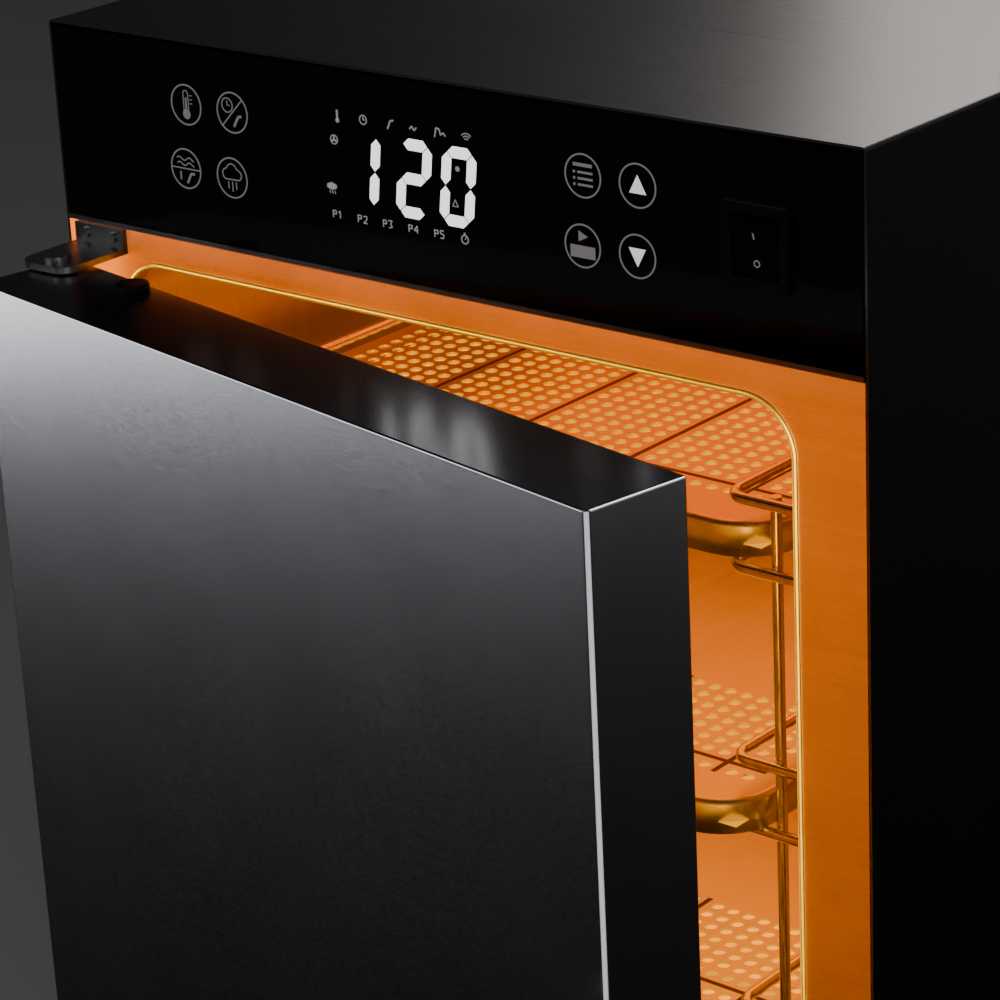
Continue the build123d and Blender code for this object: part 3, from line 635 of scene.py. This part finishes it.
# ------------------------------------------------------------------ mains switch marks
JOINTS = {joint["name"]: joint for joint in frame["record"]["behaviour"]["joints"]}
ROCKER_Z = JOINTS["rocker_tilt"]["pos_m"][2]
ROCKER_PIVOT_DEPTH = 4.0 * MM
ROCKER_REST_TILT = math.radians(10)
ROCKER_SLOPE = 1.6 / 12.0
ROCKER_RIDGE = 2.0
MARK_PROUD = 0.12


def switch_marks():
    """On and off marks on the rocker, which lie on its two slanting faces; the print is real and its
    faint glow is painted light.
    """
    low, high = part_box("rocker")
    cx = (low.x + high.x) / 2
    pivot = Vector((cx, FACE_Y + ROCKER_PIVOT_DEPTH, ROCKER_Z))
    tilt = Matrix.Rotation(ROCKER_REST_TILT, 4, "X")
    turn = Matrix.Translation(pivot) @ tilt @ Matrix.Translation(-pivot)

    def on_rocker(x, z, depth):
        proud = ROCKER_RIDGE + abs(z) * ROCKER_SLOPE + MARK_PROUD
        return turn @ Vector((cx + x * MM, FACE_Y - proud * MM + depth, ROCKER_Z + z * MM))

    bm = bmesh.new()
    bar(bm, 0.0, 4.6, 0.0, 7.6, 0.7, on_rocker)
    ring(bm, 0.0, -6.2, 1.6, 1.05, on_rocker, PRINT_T, SMALL_STEPS)
    # The marks' glow is painted light on an unlit print.
    look = glowing("switch_print", (0.5, 0.5, 0.5), 0.18)
    add_piece("rocker_marks", bm, look, "rocker")


# ------------------------------------------------------------------ perforated shelves
SHELVES = ("shelf_upper", "shelf_middle", "shelf_lower")
HOLE_PITCH = 9.1 * MM
HOLE_R = 3.25 * MM
HOLE_SIDES = 14
STRIP = 5.8 * MM
GROOVE_FROM, GROOVE_TO = 1.5 * MM, 4.3 * MM
STRIPS_X = (-84.0 * MM, -15.0 * MM, 54.0 * MM, 123.0 * MM)
SHELF_R = 28.0 * MM
SHELF_EDGE = 3.0 * MM
SHELF_T = 1.2 * MM
SHOULDER_STEPS = 5
FIELD_HALF = 149.5 * MM
PLAIN_FRONT = 27.0 * MM
FIELD_DEPTHS = (295.0 * MM, 84.0 * MM, 84.0 * MM)


def perforated_shelf(node, field_depth):
    """A shelf sheet with blocks of round holes between plain strips and a turned-down edge."""
    low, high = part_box(node)
    cx, cy = (low.x + high.x) / 2, (low.y + high.y) / 2
    top = high.z
    bm = bmesh.new()
    xs = column_edges(cx)
    y0 = low.y + PLAIN_FRONT
    ys = row_edges(y0, y0 + field_depth)
    grid = {}
    for i, (x, _) in enumerate(xs):
        for j, (y, _) in enumerate(ys):
            grid[i, j] = bm.verts.new((x, y, top))
    for i in range(len(xs) - 1):
        for j in range(len(ys) - 1):
            corners = [grid[i, j], grid[i + 1, j], grid[i + 1, j + 1], grid[i, j + 1]]
            kinds = (xs[i][1], ys[j][1])
            if kinds == ("holes", "holes"):
                holed_cell(bm, corners, top)
            else:
                # Groove cells take the dark look, a painted shade.
                bm.faces.new(corners).material_index = 1 if "groove" in kinds else 0
    edge = outline_rings(bm, cx, cy, low, high)
    last_x, last_y = len(xs) - 1, len(ys) - 1
    field = [grid[i, 0] for i in range(last_x)] + [grid[last_x, j] for j in range(last_y)]
    field += [grid[i, last_y] for i in range(last_x, 0, -1)]
    field += [grid[0, j] for j in range(last_y, 0, -1)]
    join_loops(bm, edge, field)
    bmesh.ops.recalc_face_normals(bm, faces=bm.faces)
    obj = add_piece(node + "_sheet", bm, LOOKS["shelf_steel"], "root")
    obj.data.materials.append(GROOVE_SHADE_LOOK)
    thick = obj.modifiers.new("sheet", "SOLIDIFY")
    thick.thickness = SHELF_T
    thick.offset = -1.0
    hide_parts(node)


def strip_edges(start):
    """Edges across a plain strip with a groove along its middle, where a dark band of painted shade
    lies on the flat sheet.
    """
    return [(start, "plain"), (start + GROOVE_FROM, "groove"), (start + GROOVE_TO, "plain")]


def column_edges(cx):
    """Edges of the hole columns from left to right, each with what fills the column to its right."""
    edges = []
    x = -FIELD_HALF
    strips = sorted(STRIPS_X)
    while x + HOLE_PITCH < FIELD_HALF:
        if strips and x > strips[0] - HOLE_PITCH / 2:
            edges += strip_edges(cx + x)
            x += STRIP
            strips.pop(0)
        edges.append((cx + x, "holes"))
        x += HOLE_PITCH
    edges.append((cx + x, "plain"))
    return edges


def row_edges(start, end):
    """Edges of the hole rows from front to back, with one plain strip behind the first row."""
    edges = [(start, "holes")] + strip_edges(start + HOLE_PITCH)
    y = start + HOLE_PITCH + STRIP
    while y + HOLE_PITCH < end:
        edges.append((y, "holes"))
        y += HOLE_PITCH
    edges.append((y, "plain"))
    return edges


def holed_cell(bm, corners, top):
    """The sheet between a cell's four corners and the round hole in its middle."""
    centre = sum((corner.co for corner in corners), Vector()) / 4
    hole = []
    for i in range(HOLE_SIDES):
        turn = 2 * math.pi * (i + 0.5) / HOLE_SIDES - math.pi
        x, y = centre.x + HOLE_R * math.cos(turn), centre.y + HOLE_R * math.sin(turn)
        hole.append(bm.verts.new((x, y, top)))
    nearest = [min(range(4), key=lambda k, v=v: (corners[k].co - v.co).length) for v in hole]
    for i in range(HOLE_SIDES):
        j = (i + 1) % HOLE_SIDES
        a, b = nearest[i], nearest[j]
        if a == b:
            bm.faces.new((corners[a], hole[j], hole[i]))
        else:
            bm.faces.new((corners[a], corners[b], hole[j], hole[i]))


def outline_rings(bm, cx, cy, low, high):
    """Turned-down edge with a rounded shoulder; returns the loop where the flat top begins."""
    half_w, half_d = (high.x - low.x) / 2, (high.y - low.y) / 2
    levels = []
    for i in range(SHOULDER_STEPS + 1):
        turn = math.pi / 2 * i / SHOULDER_STEPS
        inset = SHELF_EDGE * (1 - math.sin(turn))
        levels.append((inset, high.z - SHELF_EDGE * (1 - math.cos(turn))))
    levels.append((0.0, low.z))
    loops = []
    for inset, z in levels:
        outline = rounded_outline(half_w - inset, half_d - inset, SHELF_R - inset)
        loops.append([bm.verts.new((cx + x, cy + y, z)) for x, y in outline])
    for a, b in zip(loops, loops[1:]):
        for i in range(len(a)):
            j = (i + 1) % len(a)
            bm.faces.new((a[i], a[j], b[j], b[i])).smooth = True
    return loops[0]


def join_loops(bm, outer, inner):
    """Fills the flat margin between the shelf's edge and its field of holes."""
    edges = []
    for loop in (outer, inner):
        for i in range(len(loop)):
            a, b = loop[i], loop[(i + 1) % len(loop)]
            edges.append(bm.edges.get((a, b)) or bm.edges.new((a, b)))
    bmesh.ops.triangle_fill(bm, edges=edges, use_beauty=True, normal=(0, 0, 1))


# ------------------------------------------------------------------ rolled edge of the cavity mouth
MOUTH_HALF = 193.5 * MM
MOUTH_R = 25.0 * MM
DOOR_OVER_TOP, DOOR_UNDER_BOTTOM = 2.2 * MM, 2.5 * MM
BEAD_R = 1.25 * MM
BEAD_OUT = 0.25 * MM
BEAD_SIDES = 10


def mouth_rim():
    """Rolled bead round the mouth, just proud of the frame's face."""
    low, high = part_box("door_outer_skin")
    top, bottom = high.z - DOOR_OVER_TOP, low.z + DOOR_UNDER_BOTTOM
    mid = (top + bottom) / 2
    outline = rounded_outline(MOUTH_HALF + BEAD_OUT, (top - bottom) / 2 + BEAD_OUT, MOUTH_R, 14)
    count = len(outline)
    bm = bmesh.new()
    loops = []
    for i, (x, z) in enumerate(outline):
        before, after = Vector(outline[i - 1]), Vector(outline[(i + 1) % count])
        along = (after - before).normalized()
        loop = []
        for k in range(BEAD_SIDES):
            turn = 2 * math.pi * k / BEAD_SIDES
            reach = BEAD_R * math.cos(turn)
            y = FACE_Y + BEAD_R * math.sin(turn)
            loop.append(bm.verts.new((x + along.y * reach, y, mid + z - along.x * reach)))
        loops.append(loop)
    for i in range(count):
        a, b = loops[i], loops[(i + 1) % count]
        for k in range(BEAD_SIDES):
            m = (k + 1) % BEAD_SIDES
            bm.faces.new((a[k], a[m], b[m], b[k]))
    add_piece("mouth_rim", bm, LOOKS["frame_steel"], "root", smooth=True)


# ------------------------------------------------------------------ stage, lights and camera
def area(
    name, place, target, size, power, colour, size_y=None, only=None, never=None, shadow=True
):
    """A soft rectangular light aimed at a point, on some objects only or on all but some."""
    data = bpy.data.lights.new(name, "AREA")
    data.shape = "RECTANGLE"
    data.size = size
    data.size_y = size_y or size
    data.energy = power
    data.color = colour
    data.use_shadow = shadow
    obj = bpy.data.objects.new(name, data)
    bpy.context.scene.collection.objects.link(obj)
    obj.location = place
    obj.rotation_euler = (Vector(target) - Vector(place)).to_track_quat("-Z", "Y").to_euler()
    obj.visible_camera = False
    if only or never:
        group = bpy.data.collections.new(name + "_objects")
        for receiver in only or never:
            group.objects.link(receiver)
        if never:
            for entry in group.collection_objects:
                entry.light_linking.link_state = "EXCLUDE"
        obj.light_linking.receiver_collection = group
    return obj


FLOOR_HALF, FLOOR_FRONT, FLOOR_BACK = 6.0, -4.0, 3.0
FLOOR_DROP = 0.5 * MM
SWEEP_R, SWEEP_STEPS, BACKDROP_TOP = 1.2, 10, 4.5


def stage():
    """Plain pale floor with a curved backdrop behind it."""
    bm = bmesh.new()
    profile = [(FLOOR_FRONT, 0.0), (FLOOR_BACK, 0.0)]
    for i in range(SWEEP_STEPS):
        turn = math.pi / 2 * (i + 1) / SWEEP_STEPS
        profile.append((FLOOR_BACK + SWEEP_R * math.sin(turn), SWEEP_R * (1 - math.cos(turn))))
    profile.append((FLOOR_BACK + SWEEP_R, BACKDROP_TOP))
    rows = []
    for y, z in profile:
        rows.append([bm.verts.new((x, y, z - FLOOR_DROP)) for x in (-FLOOR_HALF, FLOOR_HALF)])
    for a, b in zip(rows, rows[1:]):
        bm.faces.new((a[0], a[1], b[1], b[0])).smooth = True
    mesh = bpy.data.meshes.new("floor")
    bm.to_mesh(mesh)
    bm.free()
    n = Nodes("floor_look")
    colour = n.tint(n.noise((3.0, 3.0, 3.0)), (0.62, 0.61, 0.60), (0.68, 0.67, 0.66))
    n.link(colour, n.shader.inputs["Base Color"])
    n.put(roughness=0.8)
    mesh.materials.append(n.material)
    obj = bpy.data.objects.new("floor", mesh)
    bpy.context.scene.collection.objects.link(obj)
    obj.visible_glossy = False
    obj.visible_shadow = False


class Maths:
    """Chains of scalar maths in the world's tree."""

    def __init__(self, tree):
        self.tree = tree

    def do(self, operation, *values):
        node = self.tree.nodes.new("ShaderNodeMath")
        node.operation = operation
        for i, value in enumerate(values):
            if isinstance(value, (int, float)):
                node.inputs[i].default_value = value
            else:
                self.tree.links.new(value, node.inputs[i])
        return node.outputs[0]

    def step(self, value, start, end, low, high):
        node = self.tree.nodes.new("ShaderNodeMapRange")
        node.interpolation_type = "SMOOTHSTEP"
        for name, number in (("From Min", start), ("From Max", end), ("To Min", low), ("To Max", high)):
            node.inputs[name].default_value = number
        self.tree.links.new(value, node.inputs["Value"])
        return node.outputs["Result"]


ACROSS = (0.758, 0.652)
GROUND_LIGHT = 0.005
BLUE_CAST = 1.03
WORLD_STRENGTH = 0.8


def world():
    """Dark studio with a faint pale band low in front and a faint patch high behind on the right."""
    made = bpy.data.worlds.new("studio")
    bpy.context.scene.world = made
    made.use_nodes = True
    tree = made.node_tree
    back = tree.nodes["Background"]
    source = tree.nodes.new("ShaderNodeTexCoord")
    split = tree.nodes.new("ShaderNodeSeparateXYZ")
    tree.links.new(source.outputs["Generated"], split.inputs[0])
    x, y, z = split.outputs["X"], split.outputs["Y"], split.outputs["Z"]
    m = Maths(tree)
    across = m.do("ADD", m.do("MULTIPLY", x, ACROSS[0]), m.do("MULTIPLY", y, ACROSS[1]))
    rise, fall = m.step(z, -0.44, -0.25, 0.0, 1.0), m.step(z, -0.10, 0.25, 1.0, 0.12)
    band = m.do("MULTIPLY", m.do("MULTIPLY", rise, fall), m.step(across, -0.60, 0.35, 0.04, 0.02))
    upper = m.step(z, 0.05, 0.30, 0.0, 1.0)
    patch = m.do("MULTIPLY", upper, m.step(across, -0.13, 0.15, 0.010, 0.06))
    total = m.do("ADD", m.do("ADD", band, patch), GROUND_LIGHT)
    shade = tree.nodes.new("ShaderNodeCombineColor")
    tree.links.new(total, shade.inputs[0])
    tree.links.new(total, shade.inputs[1])
    tree.links.new(m.do("MULTIPLY", total, BLUE_CAST), shade.inputs[2])
    tree.links.new(shade.outputs[0], back.inputs["Color"])
    back.inputs["Strength"].default_value = WORLD_STRENGTH


ORANGE = (1.0, 0.18, 0.0)
DEEP_ORANGE = (1.0, 0.13, 0.0)
AMBER = (1.0, 0.37, 0.0)
GOLD = (1.0, 0.48, 0.02)
WHITE = (1.0, 0.99, 1.0)
COOL_WHITE = (0.97, 0.98, 1.0)
WARM_WHITE = (1.0, 0.97, 0.94)
DOOR_CORNER = Vector((0.1, FACE_Y, 0.42))
BODY_MID = (0.0, 0.0, 0.3)
WARM_NODES = ("front_frame", "cavity_liner", "rack_left", "rack_right", "rack_sockets", "fan_baffle")
SHEETS = tuple(name + "_sheet" for name in SHELVES)


def towards(azimuth, elevation, distance):
    """A point that lies that far from the door's upper corner, azimuth counted from +X."""
    a, e = math.radians(azimuth), math.radians(elevation)
    way = Vector((math.cos(e) * math.cos(a), math.cos(e) * math.sin(a), math.sin(e)))
    return DOOR_CORNER + distance * way


def studio_lights():
    """Soft key and fill, which leave the warm cavity alone."""
    warm = [frame["nodes"][name] for name in WARM_NODES]
    warm += [bpy.data.objects[name] for name in ("mouth_rim", *SHEETS)]
    area("key", (-1.2, -2.2, 2.2), BODY_MID, 1.6, 9.0, WHITE, never=warm)
    area("fill", (2.0, -1.4, 1.2), BODY_MID, 1.2, 2.5, WHITE, never=warm)


def sheens():
    """Wide reflections on the door and the top, each on its own piece."""
    door, casing = [frame["nodes"]["door_outer_skin"]], [frame["nodes"]["outer_casing"]]
    for name, place, width, height, power, colour, only in (
        ("door_sheen", towards(-151, -5, 2.5), 1.7, 0.95, 26.0, COOL_WHITE, door),
        ("edge_sheen", towards(-60, -15, 2.0), 3.2, 1.8, 40.0, WHITE, door),
        ("rim_sheen", towards(49, 45, 2.0), 1.2, 1.2, 45.0, (1.0, 0.93, 0.88), door),
        ("side_sheen", towards(28, -6, 2.5), 1.8, 0.75, 6.0, WARM_WHITE, door),
        ("top_sheen", towards(108, 24, 3.0), 1.5, 1.3, 9.5, (1.0, 0.96, 0.93), casing),
    ):
        area(name, place, DOOR_CORNER, width, power, colour, height, only=only)


def cavity_glow():
    """Warm lights under the cavity's roof and round each shelf."""
    low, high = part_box("cavity_liner")
    mid_y = (low.y + high.y) / 2
    floor_mid = (0, mid_y, 0)
    place = (0, mid_y, high.z - 8 * MM)
    area("glow_top", place, floor_mid, 0.30, 0.62, DEEP_ORANGE, 0.34)
    for i, name in enumerate(SHELVES):
        shelf_low, shelf_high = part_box(name)
        y = (shelf_low.y + shelf_high.y) / 2
        place = (0, mid_y, shelf_low.z - 3 * MM)
        area(f"glow_{i}", place, floor_mid, 0.29, 0.30, DEEP_ORANGE, 0.30)
        place = (0, y, shelf_low.z + 6 * MM)
        under = area(f"under_{i}", place, (0, y, 1), 0.310, 0.42, AMBER, 0.338)
        under.visible_camera = True


def mouth_glow():
    """Warm lights on the frame, the bead and the shelving, which the open door doesn't block."""
    mouth, rim = [frame["nodes"]["front_frame"]], [bpy.data.objects["mouth_rim"]]
    shelving = [frame["nodes"][name] for name in ("rack_left", "rack_right")]
    shelving += [bpy.data.objects[name] for name in SHEETS]
    for name, place, width, height, power, colour, only in (
        ("frame_glow", towards(-131, -6, 2.0), 1.8, 1.0, 38.0, ORANGE, mouth),
        ("rim_glow", towards(-151, -5, 2.0), 2.0, 2.0, 190.0, GOLD, rim),
        ("shelf_glow", towards(-72, -10, 1.6), 1.2, 0.9, 26.0, AMBER, shelving),
        ("rim_glow_right", towards(-49, 0, 2.0), 2.0, 2.0, 190.0, GOLD, rim),
    ):
        area(name, place, DOOR_CORNER, width, power, colour, height, only=only, shadow=False)


CAMERA_FROM_PANEL = Vector((0.9390, -1.0506, 0.3943))
CAMERA_YAW, CAMERA_PITCH, CAMERA_ROLL = 40.73, 21.03, 2.91
CAMERA_LENS = 121.07


def camera():
    """Close view from the upper right."""
    data = bpy.data.cameras.new("camera")
    data.lens = CAMERA_LENS
    data.sensor_width = 36.0
    data.clip_start = 0.05
    obj = bpy.data.objects.new("camera", data)
    bpy.context.scene.collection.objects.link(obj)
    turn = Matrix.Rotation(math.radians(CAMERA_YAW), 4, "Z")
    turn = turn @ Matrix.Rotation(math.radians(90 - CAMERA_PITCH), 4, "X")
    turn = turn @ Matrix.Rotation(math.radians(-CAMERA_ROLL), 4, "Z")
    place = Vector((0.0, FACE_Y, PANEL_MID)) + CAMERA_FROM_PANEL
    obj.matrix_world = Matrix.Translation(place) @ turn
    bpy.context.scene.camera = obj


dress_frame()
display_digits()
small_icons()
touch_keys()
switch_marks()
mouth_rim()
for shelf_name, depth in zip(SHELVES, FIELD_DEPTHS):
    perforated_shelf(shelf_name, depth)
stage()
world()
studio_lights()
sheens()
cavity_glow()
mouth_glow()
camera()
